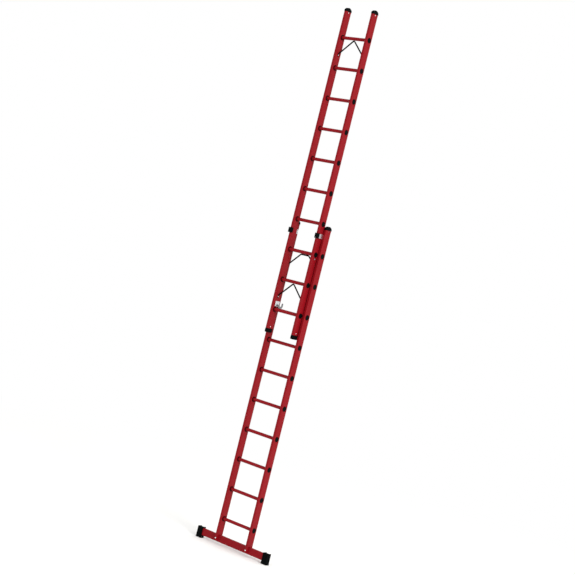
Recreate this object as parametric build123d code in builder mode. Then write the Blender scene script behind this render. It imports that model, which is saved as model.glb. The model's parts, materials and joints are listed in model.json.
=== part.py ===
from build123d import *
import math
import os

os.makedirs("parts", exist_ok=True)

# Frame: X runs along the rungs, +Y towards the wall, Z up the stiles.
# The origin is on the floor, midway between the stiles, in the base section's mid-plane.

# --- Driving dimensions, in millimetres ---
rung_pitch = 280.0
rung_count = 10
overlap_rungs = 3  # rungs of the fly that stand beside rungs of the base
first_rung_height = 242.0  # lowest rung's centre above the floor
rung_radius = 15.0
rung_wall = 3.0

stile_depth = 73.0
stile_width = 25.0
stile_wall = 3.5
stile_corner = 3.0
stile_above_top_rung = 237.0
fly_stile_below_rung = 179.0

base_width = 394.0  # over the base section's stiles
fly_side_gap = 7.0  # between a fly stile and the base stile beside it
fly_rung_clearance = 7.5  # from the base's rungs to the fly stiles' rear faces

glue_gap = 0.1  # round a rung in its stile, collar and plug
insert_gap = 0.2  # round a moulding's spigot in a stile, and round the bar
pin_gap = 0.15  # round a rivet or bolt in its hole
swing_gap = 0.06  # round a hook on its pivot pin
air_gap = 0.3  # between pieces that move past each other

# Rung collars on the inner faces and plugs in the rung ends
collar_rim = 9.0
collar_thickness = 4.0
plug_rim = 9.0
plug_thickness = 2.5
plug_reach = 12.0

# Mouldings on the ends of the stiles
cap_overhang = 4.0
cap_side_overhang = 1.5
cap_height = 36.0
cap_corner = 5.0
cap_band = 13.0  # height of the straight sides under the arched top
cap_edge = 4.0
foot_overhang = 1.5
foot_side_overhang = 1.0
foot_height = 38.0
foot_toe_radius = 10.0
groove_width = 4.0
groove_depth = 3.0
groove_pitch = 12.0
spigot_length = 25.0

# Rivets
rivet_radius = 2.5
rivet_head_radius = 4.0
rivet_head_height = 1.5
end_rivet_inset = 9.0  # from the end of a stile to the rivet through its moulding
foot_rivet_inset = 17.0

# Stabiliser bar, which passes through a slot in the foot of each base stile
bar_height = 65.0
bar_depth = 25.0
bar_wall = 4.0
bar_corner = 3.0
bar_above_floor = 26.5
bar_below_stile = 12.0  # of the bar that shows under the stiles' lower ends

# Rubber feet on the ends of the bar
pad_outer_x = 430.0
pad_length = 56.0
pad_end_wall = 8.0
pad_side_wall = 7.5
pad_top_wall = 6.5
pad_corner = 4.0
sole_height = 21.0
sole_flare = 5.0
sole_waist = 6.0
rib_width = 7.0
rib_height = 4.0
tread_width = 5.0
tread_depth = 4.0
tread_pitch = 13.0

# Bolts through the stiles and the bar
bolt_radius = 3.0
bolt_head_flats = 10.0
bolt_head_height = 4.0
nut_height = 6.0
bolt_tail = 2.0
washer_radius = 6.0
washer_thickness = 1.6
spacer_radius = 6.0

# Guides at the top of the base section
guide_below_stile_top = 67.0
strap_thickness = 3.0
strap_height = 40.0
strap_rear_inset = 4.5
strap_rivet_rise = 11.0
strap_rivet_reach = 19.0
block_height = 46.0
block_front_wall = 12.0
block_lip_thickness = 4.5
block_lip_depth = 12.0
block_outer_wall = 3.0
block_running_gap = 0.5
block_rivet_radius = 2.0
block_rivet_head_radius = 3.5
block_rivet_head_height = 1.3
block_rivet_rise = 12.0
strap_nose = 5.0  # from the block's front to the strap's end

# Extension stop on the fly
extension_stop_travel = 180.0
stop_head_radius = 8.0
stop_head_height = 5.5
stop_shank_radius = 3.0
stop_margin = 1.0

# Braces: bent round bar, flattened and riveted at its ends
brace_radius = 6.5
brace_bend = 16.0
brace_set_off = 0.5  # of the bar from the stile's face
brace_leg_low = 7.0  # ends of the upright stretch at each eye, above its rivet
brace_leg_high = 18.0
brace_rung_gap = 0.1
brace_foot_drop = 162.0
base_brace_drop = 155.0
base_brace_flat = 46.0  # half the length that lies against the rung
eye_thickness = 3.0
eye_width = 15.0
eye_length = 26.0

# Rung hooks, measured from the centre of the lowest fly rung
hook_plate_thickness = 3.0
hook_plate_front = 17.0  # in front of the fly's mid-plane
hook_plate_tail = 5.5  # behind the stile
hook_plate_above_collar = 1.0
hook_plate_height = 51.0
hook_plate_corner = 5.0
pivot_inset = 15.5  # from the stile's rear face
pivot_rise = 38.0
pivot_radius = 4.0
hook_thickness = 4.0
hook_boss_radius = 10.0
hook_arm_depth = 18.7
hook_heel_rise = 30.0  # above the arm
hook_heel_length = 18.2
hook_heel_lean = 2.0
hook_tip_drop = 3.0
hook_tip_width = 7.0
hook_corner = 2.0
hook_seat_gap = 0.3
hook_rear_gap = 0.8
pivot_head_radius = 8.0
pivot_head_height = 3.0
pivot_tail_radius = 7.0
pivot_tail_height = 3.5
spring_wire = 1.05
spring_coils = 3
spring_radius = 6.2
spring_leg = 14.0
flush_rivet_head_radius = 4.5
flush_rivet_points = ((-6.0, 62.0), (29.0, 62.0), (-8.0, 36.0))  # from the fly's mid-plane

# --- Sizes that follow ---
collar_radius = rung_radius + collar_rim
plug_radius = rung_radius + plug_rim
fly_forward = rung_radius + fly_rung_clearance + stile_depth / 2
block_cheek_depth = stile_depth / 2 - plug_radius - air_gap
base_outer = base_width / 2
base_inner = base_outer - stile_width
fly_outer = base_inner - fly_side_gap
fly_inner = fly_outer - stile_width
base_mid_x = base_outer - stile_width / 2
fly_mid_x = fly_outer - stile_width / 2
base_y = 0.0
fly_y = -fly_forward
base_rungs = [first_rung_height + i * rung_pitch for i in range(rung_count)]
fly_first_rung = base_rungs[rung_count - overlap_rungs]
fly_rungs = [fly_first_rung + i * rung_pitch for i in range(rung_count)]
base_stile_low = bar_above_floor + bar_below_stile
base_stile_high = base_rungs[-1] + stile_above_top_rung
guide_height = base_stile_high - guide_below_stile_top
fly_stile_low = fly_rungs[0] - fly_stile_below_rung
fly_stile_high = fly_rungs[-1] + stile_above_top_rung
cavity_width = stile_width - 2 * stile_wall
cavity_depth = stile_depth - 2 * stile_wall
bar_top = bar_above_floor + bar_height
bar_middle = bar_above_floor + bar_height / 2
pad_inner_x = pad_outer_x - pad_length
bar_end_x = pad_outer_x - pad_end_wall
rung_bore = rung_radius - rung_wall
strap_low = guide_height - strap_height / 2
stop_height = strap_low - extension_stop_travel - stop_head_radius - stop_margin
end_rivets = [fly_stile_low + foot_rivet_inset, fly_stile_high - end_rivet_inset]
cap_rivets = [base_stile_high - end_rivet_inset]
pivot_behind_mid = stile_depth / 2 - pivot_inset
pivot_y = fly_y + pivot_behind_mid
pivot_z = fly_rungs[0] + pivot_rise


def across(x, y):
    """A plane facing +X, with Y to its right and Z up."""
    return Plane(origin=(x, y, 0), x_dir=(0, 1, 0), z_dir=(1, 0, 0))


def facing_front(x, y):
    """A plane facing -Y, with X to its right and Z up."""
    return Plane(origin=(x, y, 0), x_dir=(1, 0, 0), z_dir=(0, -1, 0))


def save(piece, label):
    piece.part.label = label
    export_step(piece.part, f"parts/{label}.step")


# --- Stiles: pultruded box section, bored for its rungs and fixings ---
def make_stile(label, x_mid, y_mid, low, high, rungs, rivet_heights, slotted):
    side = 1 if x_mid > 0 else -1
    with BuildPart() as stile:
        with BuildSketch(Plane(origin=(x_mid, y_mid, low))):
            RectangleRounded(stile_width, stile_depth, stile_corner)
            Rectangle(cavity_width, cavity_depth, mode=Mode.SUBTRACT)
        extrude(amount=high - low)
        with BuildSketch(across(x_mid - stile_width, y_mid)):
            with Locations(*[(0, z) for z in rungs]):
                Circle(rung_radius + glue_gap)
            with Locations(*[(0, z) for z in rivet_heights]):
                Circle(rivet_radius + pin_gap)
        extrude(amount=2 * stile_width, mode=Mode.SUBTRACT)
        if slotted:
            with BuildSketch(across(x_mid - stile_width, y_mid)):
                with Locations((0, (low + bar_top) / 2)):
                    Rectangle(bar_depth + 2 * insert_gap, bar_top - low)
            extrude(amount=2 * stile_width, mode=Mode.SUBTRACT)
            with BuildSketch(facing_front(x_mid, y_mid + stile_depth)):
                with Locations((0, bar_middle)):
                    Circle(bolt_radius + pin_gap)
            extrude(amount=2 * stile_depth, mode=Mode.SUBTRACT)
            with BuildSketch(across(x_mid - side * stile_width / 2, y_mid)):
                with Locations(*strap_holes):
                    Circle(rivet_radius + pin_gap)
                with Locations((0, base_rungs[-1] - base_brace_drop)):
                    Circle(rivet_radius + pin_gap)
            extrude(amount=side * stile_wall, mode=Mode.SUBTRACT)
        else:
            with BuildSketch(across(x_mid + side * stile_width / 2, y_mid)):
                with Locations((0, stop_height)):
                    Circle(stop_shank_radius + pin_gap)
            extrude(amount=-side * stile_wall, mode=Mode.SUBTRACT)
            with BuildSketch(across(x_mid - side * stile_width / 2, y_mid)):
                with Locations(*[(y, fly_rungs[0] + z) for y, z in flush_rivet_points]):
                    Circle(rivet_radius + pin_gap)
                with Locations((pivot_behind_mid, pivot_z)):
                    Circle(pivot_radius + pin_gap)
                with Locations(*[(0, z - brace_foot_drop) for z in (fly_rungs[1], fly_rungs[-1])]):
                    Circle(rivet_radius + pin_gap)
            extrude(amount=side * stile_wall, mode=Mode.SUBTRACT)
    save(stile, label)


strap_holes = [
    (y, guide_height + z)
    for y in (-strap_rivet_reach, strap_rivet_reach)
    for z in (-strap_rivet_rise, strap_rivet_rise)
]
for name, side in (("left", -1), ("right", 1)):
    make_stile(
        f"base_stile_{name}",
        side * base_mid_x,
        base_y,
        base_stile_low,
        base_stile_high,
        base_rungs,
        cap_rivets,
        True,
    )
    make_stile(
        f"fly_stile_{name}",
        side * fly_mid_x,
        fly_y,
        fly_stile_low,
        fly_stile_high,
        fly_rungs,
        end_rivets,
        False,
    )


# --- Rungs: round tubes that pass through both stiles ---
def make_rung(label, half_length, y_mid, height):
    with BuildPart() as rung:
        with BuildSketch(across(-half_length, y_mid)):
            with Locations((0, height)):
                Circle(rung_radius)
                Circle(rung_bore, mode=Mode.SUBTRACT)
        extrude(amount=2 * half_length)
    save(rung, label)


for number, (base_z, fly_z) in enumerate(zip(base_rungs, fly_rungs), start=1):
    make_rung(f"base_rung_{number:02d}", base_outer, base_y, base_z)
    make_rung(f"fly_rung_{number:02d}", fly_outer, fly_y, fly_z)


# --- Collars round the rungs on the stiles' inner faces ---
def make_collars(label, inner_x, y_mid, rungs):
    with BuildPart() as collars:
        for side in (-1, 1):
            with BuildSketch(across(side * inner_x, y_mid)):
                with Locations(*[(0, z) for z in rungs]):
                    Circle(collar_radius)
                with Locations(*[(0, z) for z in rungs]):
                    Circle(rung_radius + glue_gap, mode=Mode.SUBTRACT)
            extrude(amount=-side * collar_thickness)
        rims = collars.edges().filter_by(GeomType.CIRCLE)
        rims = [e for e in rims if abs(e.radius - collar_radius) < 0.01]
        chamfer([e for e in rims if abs(abs(e.center().X) - inner_x) > 1], collar_thickness / 3)
    save(collars, label)


make_collars("base_rung_collars", base_inner, base_y, base_rungs)
make_collars("fly_rung_collars", fly_inner, fly_y, fly_rungs)


# --- Plugs in the open ends of the rungs ---
def make_plugs(label, outer_x, y_mid, rungs):
    with BuildPart() as plugs:
        for side in (-1, 1):
            with BuildSketch(across(side * outer_x, y_mid)):
                with Locations(*[(0, z) for z in rungs]):
                    Circle(plug_radius)
            extrude(amount=side * plug_thickness)
            with BuildSketch(across(side * outer_x, y_mid)):
                with Locations(*[(0, z) for z in rungs]):
                    Circle(rung_bore - glue_gap)
            extrude(amount=-side * plug_reach)
        rims = plugs.edges().filter_by(GeomType.CIRCLE)
        chamfer([e for e in rims if abs(e.center().X) > outer_x + 1], plug_thickness / 3)
    save(plugs, label)


make_plugs("base_rung_plugs", base_outer, base_y, base_rungs)
make_plugs("fly_rung_plugs", fly_outer, fly_y, fly_rungs)


# --- Domed caps on the top ends of the stiles ---
def make_cap(label, x_mid, y_mid, low, rivet_height):
    with BuildPart() as cap:
        width = stile_width + 2 * cap_side_overhang
        reach = stile_depth / 2 + cap_overhang
        with BuildSketch(across(x_mid - width / 2, y_mid)):
            with BuildLine():
                Polyline((-reach, low + cap_band), (-reach, low), (reach, low), (reach, low + cap_band))
                ThreePointArc(
                    (-reach, low + cap_band), (0, low + cap_height), (reach, low + cap_band)
                )
            make_face()
        extrude(amount=width)
        fillet(cap.edges().filter_by(Axis.Z), cap_corner)
        fillet(cap.edges().group_by(Axis.Z)[-1], cap_edge)
        with BuildSketch(Plane(origin=(x_mid, y_mid, low))):
            Rectangle(cavity_width - 2 * insert_gap, cavity_depth - 2 * insert_gap)
        extrude(amount=-spigot_length)
        with BuildSketch(across(x_mid - stile_width, y_mid)):
            with Locations((0, rivet_height)):
                Circle(rivet_radius + pin_gap)
        extrude(amount=2 * stile_width, mode=Mode.SUBTRACT)
    save(cap, label)


for name, side in (("left", -1), ("right", 1)):
    make_cap(f"base_cap_{name}", side * base_mid_x, base_y, base_stile_high, cap_rivets[0])
    make_cap(f"fly_cap_{name}", side * fly_mid_x, fly_y, fly_stile_high, end_rivets[1])


# --- Rubber feet in the bottom ends of the fly's stiles ---
def make_fly_foot(label, x_mid):
    with BuildPart() as foot:
        with BuildSketch(Plane(origin=(x_mid, fly_y, fly_stile_low))):
            RectangleRounded(
                stile_width + 2 * foot_side_overhang,
                stile_depth + 2 * foot_overhang,
                stile_corner + foot_side_overhang,
            )
        extrude(amount=-foot_height)
        toes = foot.faces().sort_by(Axis.Z)[0].edges().filter_by(Axis.X)
        fillet(toes, foot_toe_radius)
        with BuildSketch(across(x_mid - stile_width, fly_y)):
            with Locations((0, fly_stile_low - foot_height + groove_depth / 2)):
                with GridLocations(groove_pitch, 1, 4, 1):
                    Rectangle(groove_width, groove_depth)
        extrude(amount=2 * stile_width, mode=Mode.SUBTRACT)
        with BuildSketch(Plane(origin=(x_mid, fly_y, fly_stile_low))):
            Rectangle(cavity_width - 2 * insert_gap, cavity_depth - 2 * insert_gap)
        extrude(amount=spigot_length)
        with BuildSketch(across(x_mid - stile_width, fly_y)):
            with Locations((0, end_rivets[0])):
                Circle(rivet_radius + pin_gap)
        extrude(amount=2 * stile_width, mode=Mode.SUBTRACT)
    save(foot, label)


make_fly_foot("fly_foot_left", -fly_mid_x)
make_fly_foot("fly_foot_right", fly_mid_x)


# --- Rivets right through a stile and the moulding in its end ---
def make_end_rivets(label, inner_x, outer_x, y_mid, heights):
    with BuildPart() as rivets:
        for side in (-1, 1):
            with BuildSketch(across(side * inner_x, y_mid)):
                with Locations(*[(0, z) for z in heights]):
                    Circle(rivet_radius)
            extrude(amount=side * stile_width)
            for x, way in ((side * inner_x, -side), (side * outer_x, side)):
                with BuildSketch(across(x, y_mid)):
                    with Locations(*[(0, z) for z in heights]):
                        Circle(rivet_head_radius)
                extrude(amount=way * rivet_head_height)
        heads = [
            e
            for e in rivets.edges().filter_by(GeomType.CIRCLE)
            if e.radius > rivet_radius + 1
            and not inner_x - 1 < abs(e.center().X) < inner_x + 1
            and not outer_x - 1 < abs(e.center().X) < outer_x + 1
        ]
        chamfer(heads, rivet_head_height / 2)
    save(rivets, label)


make_end_rivets("base_cap_rivets", base_inner, base_outer, base_y, cap_rivets)
make_end_rivets("fly_end_rivets", fly_inner, fly_outer, fly_y, end_rivets)

# --- Stabiliser bar: box section through the slots in the base stiles ---
with BuildPart() as stabiliser_bar:
    with BuildSketch(across(-bar_end_x, base_y)):
        with Locations((0, bar_middle)):
            RectangleRounded(bar_depth, bar_height, bar_corner)
            Rectangle(bar_depth - 2 * bar_wall, bar_height - 2 * bar_wall, mode=Mode.SUBTRACT)
    extrude(amount=2 * bar_end_x)
    with BuildSketch(facing_front(0, stile_depth)):
        with Locations((-base_mid_x, bar_middle), (base_mid_x, bar_middle)):
            Circle(bolt_radius + pin_gap)
    extrude(amount=2 * stile_depth, mode=Mode.SUBTRACT)
save(stabiliser_bar, "stabiliser_bar")


# --- Rubber pads on the ends of the bar, each with a flared and grooved sole ---
def make_pad(label, side):
    x_mid = side * (pad_outer_x - pad_length / 2)
    pad_depth = bar_depth + 2 * pad_side_wall
    pad_top = bar_top + pad_top_wall
    with BuildPart() as pad:
        with BuildSketch(Plane(origin=(x_mid, base_y, 0))):
            RectangleRounded(pad_length, pad_depth, pad_corner)
        extrude(amount=pad_top)
        flared = (pad_length + 2 * sole_flare, pad_depth + 2 * sole_flare, pad_corner + sole_flare)
        with BuildSketch(Plane(origin=(x_mid, base_y, 0))):
            RectangleRounded(*flared)
        extrude(amount=sole_height)
        with BuildSketch(Plane(origin=(x_mid, base_y, sole_height))):
            RectangleRounded(*flared)
        extrude(amount=sole_waist, taper=math.degrees(math.atan(sole_flare / sole_waist)))
        for x in (x_mid - pad_length / 2, x_mid + pad_length / 2 - rib_width):
            with BuildSketch(across(x, base_y)):
                with Locations((0, (pad_top + rib_height + sole_height) / 2)):
                    RectangleRounded(
                        pad_depth + 2 * rib_height, pad_top + rib_height - sole_height, rib_height
                    )
            extrude(amount=rib_width)
        with BuildSketch(across(side * pad_inner_x - side * rib_width, base_y)):
            with Locations((0, bar_middle)):
                Rectangle(bar_depth + 2 * insert_gap, bar_height + 2 * insert_gap)
        extrude(amount=side * (bar_end_x - pad_inner_x + rib_width), mode=Mode.SUBTRACT)
        with BuildSketch(facing_front(x_mid, pad_depth)):
            with Locations((0, tread_depth / 2)):
                with GridLocations(tread_pitch, 1, 4, 1):
                    Rectangle(tread_width, tread_depth)
        extrude(amount=2 * pad_depth, mode=Mode.SUBTRACT)
    save(pad, label)


make_pad("rubber_foot_left", -1)
make_pad("rubber_foot_right", 1)

# --- Bolts, washers, spacers and nuts that hold the bar in the stiles ---
stile_front = base_y - stile_depth / 2
stile_rear = base_y + stile_depth / 2
bolt_places = ((-base_mid_x, bar_middle), (base_mid_x, bar_middle))
with BuildPart() as bar_bolts:
    with BuildSketch(facing_front(0, stile_front - washer_thickness)):
        with Locations(*bolt_places):
            RegularPolygon(bolt_head_flats / 2, 6, major_radius=False)
    extrude(amount=bolt_head_height)
    with BuildSketch(facing_front(0, stile_front - washer_thickness)):
        with Locations(*bolt_places):
            Circle(bolt_radius)
    extrude(amount=-(stile_depth + 2 * washer_thickness + nut_height + bolt_tail))
save(bar_bolts, "bar_bolts")

with BuildPart() as bar_washers:
    for y in (stile_front, stile_rear + washer_thickness):
        with BuildSketch(facing_front(0, y)):
            with Locations(*bolt_places):
                Circle(washer_radius)
            with Locations(*bolt_places):
                Circle(bolt_radius + pin_gap, mode=Mode.SUBTRACT)
        extrude(amount=washer_thickness)
save(bar_washers, "bar_washers")

with BuildPart() as bar_nuts:
    with BuildSketch(facing_front(0, stile_rear + washer_thickness + nut_height)):
        with Locations(*bolt_places):
            RegularPolygon(bolt_head_flats / 2, 6, major_radius=False)
        with Locations(*bolt_places):
            Circle(bolt_radius + glue_gap, mode=Mode.SUBTRACT)
    extrude(amount=nut_height)
save(bar_nuts, "bar_nuts")

with BuildPart() as bar_spacers:
    for y in (base_y - bar_depth / 2, stile_rear - stile_wall):
        with BuildSketch(facing_front(0, y)):
            with Locations(*bolt_places):
                Circle(spacer_radius)
            with Locations(*bolt_places):
                Circle(bolt_radius + pin_gap, mode=Mode.SUBTRACT)
        extrude(amount=(cavity_depth - bar_depth) / 2)
save(bar_spacers, "bar_spacers")

# --- Guides: a strap on the base stile's inner face carries a block round the fly stile ---
fly_front = fly_y - stile_depth / 2
block_front = fly_front - block_running_gap - block_front_wall
strap_front = block_front + strap_nose
strap_rear = base_y + stile_depth / 2 - strap_rear_inset
strap_inner = base_inner - strap_thickness
block_rivet_y = fly_front + block_cheek_depth / 2
block_rivet_places = [(block_rivet_y, guide_height + z) for z in (-block_rivet_rise, block_rivet_rise)]


def make_guide_strap(label, side):
    with BuildPart() as strap:
        with BuildSketch(across(side * strap_inner, 0)):
            with Locations(((strap_front + strap_rear) / 2, guide_height)):
                Rectangle(strap_rear - strap_front, strap_height)
            with Locations(*[(base_y + y, z) for y, z in strap_holes]):
                Circle(rivet_radius + pin_gap, mode=Mode.SUBTRACT)
            with Locations(*block_rivet_places):
                Circle(block_rivet_radius + pin_gap, mode=Mode.SUBTRACT)
        extrude(amount=side * strap_thickness)
    save(strap, label)


def make_guide_block(label, side):
    lip_x = fly_inner - block_running_gap - block_lip_thickness
    cheek_x = fly_outer + block_running_gap
    outer_x = base_inner + block_outer_wall
    behind = fly_front + block_cheek_depth
    lip_rear = fly_front + block_lip_depth
    with BuildPart() as block:
        with BuildSketch(Plane.XY.offset(guide_height - block_height / 2)):
            with BuildLine():
                Polyline(
                    (side * lip_x, block_front),
                    (side * outer_x, block_front),
                    (side * outer_x, behind),
                    (side * cheek_x, behind),
                    (side * cheek_x, fly_front - block_running_gap),
                    (side * (fly_inner - block_running_gap), fly_front - block_running_gap),
                    (side * (fly_inner - block_running_gap), lip_rear),
                    (side * lip_x, lip_rear),
                    close=True,
                )
            make_face()
        extrude(amount=block_height)
        corners = block.edges().filter_by(Axis.Z).group_by(Axis.Y)[0]
        fillet(corners, block_front_wall / 3)
        with BuildSketch(across(side * (strap_inner - glue_gap), 0)):
            with Locations(((strap_front - glue_gap + behind + 1) / 2, guide_height)):
                Rectangle(behind + 1 - strap_front + glue_gap, strap_height + 2 * glue_gap)
        extrude(amount=side * (strap_thickness + 2 * glue_gap), mode=Mode.SUBTRACT)
        with BuildSketch(across(side * cheek_x, 0)):
            with Locations(*block_rivet_places):
                Circle(block_rivet_radius + pin_gap)
        extrude(amount=side * (outer_x - cheek_x), mode=Mode.SUBTRACT)
    save(block, label)


for name, side in (("left", -1), ("right", 1)):
    make_guide_strap(f"guide_strap_{name}", side)
    make_guide_block(f"guide_block_{name}", side)

with BuildPart() as guide_rivets:
    for side in (-1, 1):
        with BuildSketch(across(side * strap_inner, base_y)):
            with Locations(*strap_holes):
                Circle(rivet_head_radius)
        extrude(amount=-side * rivet_head_height)
        with BuildSketch(across(side * strap_inner, base_y)):
            with Locations(*strap_holes):
                Circle(rivet_radius)
        extrude(amount=side * (strap_thickness + stile_wall))
        outer_x = base_inner + block_outer_wall
        inner_x = fly_outer + block_running_gap + air_gap
        with BuildSketch(across(side * outer_x, 0)):
            with Locations(*block_rivet_places):
                Circle(block_rivet_head_radius)
        extrude(amount=side * block_rivet_head_height)
        with BuildSketch(across(side * outer_x, 0)):
            with Locations(*block_rivet_places):
                Circle(block_rivet_radius)
        extrude(amount=-side * (outer_x - inner_x))
save(guide_rivets, "guide_rivets")

# --- Stop screws on the fly, which meet the guide straps at full extension ---
with BuildPart() as stop_screws:
    for side in (-1, 1):
        with BuildSketch(across(side * fly_outer, fly_y)):
            with Locations((0, stop_height)):
                Circle(stop_head_radius)
        extrude(amount=side * stop_head_height)
        with BuildSketch(across(side * fly_outer, fly_y)):
            with Locations((0, stop_height)):
                Circle(stop_shank_radius)
        extrude(amount=-side * stile_wall)
save(stop_screws, "extension_stop_screws")


# --- Braces under a rung, each with a flattened eye riveted to either stile ---
def make_braces(label, inner_x, y_mid, rung_heights, drop, half_flat):
    leg_x = inner_x - brace_radius - brace_set_off
    with BuildPart() as braces:
        for rung_height in rung_heights:
            top = rung_height - rung_radius - brace_rung_gap - brace_radius
            foot = rung_height - drop
            leg_low = foot + brace_leg_low
            leg_high = foot + brace_leg_high
            half_angle = math.atan2(leg_x, top - leg_high)
            crown = top + brace_bend * (1 / math.sin(half_angle) - 1)
            bends = [(-half_flat, top), (half_flat, top)] if half_flat else [(0, crown)]
            route = [(-leg_x, leg_low), (-leg_x, leg_high), *bends, (leg_x, leg_high), (leg_x, leg_low)]
            with BuildLine(facing_front(0, y_mid)) as path:
                FilletPolyline(*route, radius=brace_bend)
            with BuildSketch(Plane(origin=path.line @ 0, z_dir=path.line % 0)):
                Circle(brace_radius)
            sweep(path=path.line)
            for side in (-1, 1):
                with BuildSketch(across(side * inner_x, y_mid)):
                    with Locations((0, foot)):
                        RectangleRounded(eye_width, eye_length, eye_width / 3)
                        Circle(rivet_radius + pin_gap, mode=Mode.SUBTRACT)
                extrude(amount=-side * eye_thickness)
    save(braces, label)


make_braces("fly_braces", fly_inner, fly_y, (fly_rungs[1], fly_rungs[-1]), brace_foot_drop, 0)
make_braces("base_brace", base_inner, base_y, (base_rungs[-1],), base_brace_drop, base_brace_flat)


def make_brace_rivets(label, inner_x, y_mid, heights):
    with BuildPart() as rivets:
        for side in (-1, 1):
            eye_face = side * (inner_x - eye_thickness)
            with BuildSketch(across(eye_face, y_mid)):
                with Locations(*[(0, z) for z in heights]):
                    Circle(rivet_head_radius)
            extrude(amount=-side * rivet_head_height)
            with BuildSketch(across(eye_face, y_mid)):
                with Locations(*[(0, z) for z in heights]):
                    Circle(rivet_radius)
            extrude(amount=side * (eye_thickness + stile_wall))
    save(rivets, label)


fly_brace_feet = [fly_rungs[1] - brace_foot_drop, fly_rungs[-1] - brace_foot_drop]
make_brace_rivets("fly_brace_rivets", fly_inner, fly_y, fly_brace_feet)
make_brace_rivets("base_brace_rivets", base_inner, base_y, [base_rungs[-1] - base_brace_drop])

# --- Hook brackets on the fly stiles' inner faces, held by flush rivets ---
hook_plate_rear = stile_depth / 2 + hook_plate_tail
plate_low = fly_rungs[0] + collar_radius + hook_plate_above_collar
plate_high = plate_low + hook_plate_height
plate_face = fly_inner - hook_plate_thickness
flush_rivet_places = [(y, fly_rungs[0] + z) for y, z in flush_rivet_points]
flush_taper = math.degrees(math.atan((flush_rivet_head_radius - rivet_radius) / hook_plate_thickness))


def make_hook_bracket(label, side):
    with BuildPart() as bracket:
        with BuildSketch(across(side * fly_inner, fly_y)):
            with Locations(((hook_plate_rear - hook_plate_front) / 2, (plate_low + plate_high) / 2)):
                RectangleRounded(
                    hook_plate_front + hook_plate_rear, plate_high - plate_low, hook_plate_corner
                )
            with Locations((pivot_behind_mid, pivot_z)):
                Circle(pivot_radius + pin_gap, mode=Mode.SUBTRACT)
        extrude(amount=-side * hook_plate_thickness)
        for place in flush_rivet_places:
            with BuildSketch(across(side * plate_face, fly_y)):
                with Locations(place):
                    Circle(flush_rivet_head_radius + pin_gap)
            extrude(amount=side * hook_plate_thickness, taper=flush_taper, mode=Mode.SUBTRACT)
    save(bracket, label)


# --- Rung hooks, which swing on the pivot pins ---
hook_outer_x = plate_face - air_gap
seat_z = fly_rungs[0] + rung_radius + hook_seat_gap
throat_y = base_y + rung_radius + hook_rear_gap
arm_z = seat_z + hook_arm_depth
heel_z = arm_z + hook_heel_rise
heel_y = throat_y + hook_heel_length
tip_z = fly_rungs[0] - hook_tip_drop


def make_hook(label, side):
    with BuildPart() as hook:
        with BuildSketch(across(side * hook_outer_x, 0)) as outline:
            with BuildLine():
                Polyline(
                    (pivot_y, pivot_z + hook_boss_radius),
                    (-throat_y, arm_z),
                    (throat_y, arm_z),
                    (throat_y, heel_z),
                    (heel_y - hook_heel_lean, heel_z),
                    (heel_y, arm_z),
                    (throat_y + hook_tip_width, seat_z),
                    (throat_y + hook_tip_width, tip_z),
                    (throat_y, tip_z),
                    (throat_y, seat_z),
                    (-throat_y, seat_z),
                    (pivot_y, pivot_z - hook_boss_radius),
                    close=True,
                )
            make_face()
            fillet(outline.vertices().group_by(Axis.Y)[-1], hook_corner)
            fillet(outline.vertices().group_by(Axis.Y)[0], hook_corner)
            with Locations((pivot_y, pivot_z)):
                Circle(hook_boss_radius)
                Circle(pivot_radius + swing_gap, mode=Mode.SUBTRACT)
        extrude(amount=-side * hook_thickness)
    save(hook, label)


for name, side in (("left", -1), ("right", 1)):
    make_hook_bracket(f"hook_bracket_{name}", side)
    make_hook(f"rung_hook_{name}", side)

with BuildPart() as hook_bracket_rivets:
    for side in (-1, 1):
        for place in flush_rivet_places:
            with BuildSketch(across(side * plate_face, fly_y)):
                with Locations(place):
                    Circle(flush_rivet_head_radius)
            extrude(amount=side * hook_plate_thickness, taper=flush_taper)
            with BuildSketch(across(side * plate_face, fly_y)):
                with Locations(place):
                    Circle(rivet_radius)
            extrude(amount=side * (hook_plate_thickness + stile_wall))
save(hook_bracket_rivets, "hook_bracket_rivets")

# --- Pivot pins and the torsion springs round them ---
spring_outer_x = hook_outer_x - hook_thickness - air_gap
coil_pitch = 2 * spring_wire - glue_gap
coil_xs = [spring_outer_x - spring_wire - i * coil_pitch for i in range(spring_coils)]
pin_head_x = coil_xs[-1] - spring_wire
pin_tail_x = fly_inner + stile_wall

with BuildPart() as hook_pivot_pins:
    for side in (-1, 1):
        for x, length, radius in (
            (pin_head_x, pin_tail_x - pin_head_x, pivot_radius),
            (pin_head_x, -pivot_head_height, pivot_head_radius),
            (pin_tail_x, pivot_tail_height, pivot_tail_radius),
        ):
            with BuildSketch(across(side * x, 0)):
                with Locations((pivot_y, pivot_z)):
                    Circle(radius)
            extrude(amount=side * length)
save(hook_pivot_pins, "hook_pivot_pins")

with BuildPart() as hook_springs:
    for side in (-1, 1):
        with BuildSketch(across(side * spring_outer_x, 0)):
            with Locations((pivot_y, pivot_z)):
                Circle(spring_radius + spring_wire)
                Circle(spring_radius - spring_wire, mode=Mode.SUBTRACT)
        extrude(amount=-side * (spring_outer_x - pin_head_x))
        with BuildSketch(facing_front(0, pivot_y)):
            with Locations((side * coil_xs[0], pivot_z - spring_radius)):
                Circle(spring_wire - glue_gap)
        extrude(amount=spring_leg)
        with BuildSketch(across(side * plate_face, 0)):
            with Locations((pivot_y - spring_leg, pivot_z - spring_radius)):
                Circle(spring_wire)
        extrude(amount=-side * (plate_face - coil_xs[0] + spring_wire))
save(hook_springs, "hook_springs")
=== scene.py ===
import json
import math

import bmesh
import bpy
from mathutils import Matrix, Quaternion, Vector


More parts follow.
